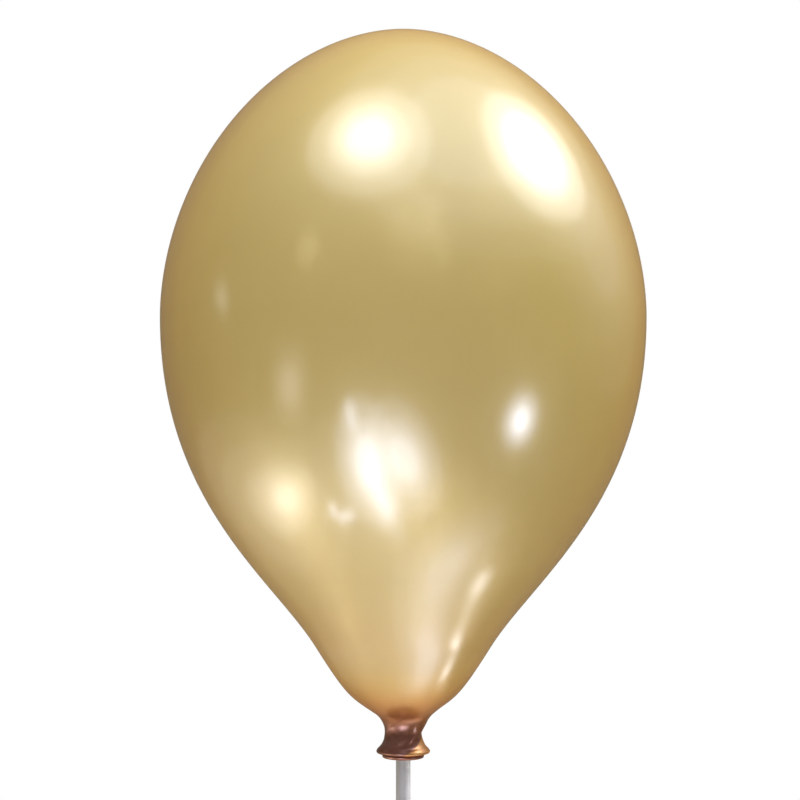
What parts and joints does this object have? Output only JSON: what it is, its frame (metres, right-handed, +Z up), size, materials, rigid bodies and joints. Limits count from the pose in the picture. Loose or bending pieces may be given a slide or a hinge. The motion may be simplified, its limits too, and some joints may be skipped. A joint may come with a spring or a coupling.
{
  "type": "latex balloon on a stick",
  "caption": "Round latex balloon in pearl gold, neck stretched over a hidden valve plug with the rolled mouth below it, on a plain pale plastic tube stick.",
  "frame": {"origin": "centre of the stick's lower end", "axes": "Z up along the stick to the crown, X to the right and Y away from a viewer in front"},
  "size_m": [0.28, 0.28, 0.802],
  "materials": {
    "stick_plastic": "pale grey-white extruded tube, satin",
    "plug_plastic": "off-white moulded plastic",
    "valve_rubber": "soft dark rubber sheet",
    "cage_plastic": "white moulded plastic",
    "neck_latex": "unstretched pearl latex, dark bronze, glossy, twisted folds",
    "bead_latex": "rolled latex, dark bronze, glossy",
    "pearl_latex": "stretched pearl latex in gold, glossy and slightly see-through"
  },
  "bodies": {
    "stick": {"stick_tube": "stick_plastic"},
    "plug": {"plug_body": "plug_plastic", "valve_cage": "cage_plastic", "neck": "neck_latex", "lip_bead": "bead_latex"},
    "valve": {"valve_disc": "valve_rubber"},
    "balloon": {"envelope": "pearl_latex"}
  },
  "joints": [
    {"name": "plug_pull_off", "type": "slide", "parent": "stick", "child": "plug", "axis": [0, 0, 1], "range_m": [0, 0.016]},
    {"name": "neck_sway", "type": "hinge", "parent": "plug", "child": "balloon", "pos_m": [0, 0, 0.3965], "axis": [0, 1, 0], "range_deg": [-20, 20], "stiffness_Nm_per_rad": 0.2},
    {"name": "valve_lift", "type": "slide", "parent": "plug", "child": "valve", "axis": [0, 0, 1], "range_m": [0, 0.0018]}
  ]
}
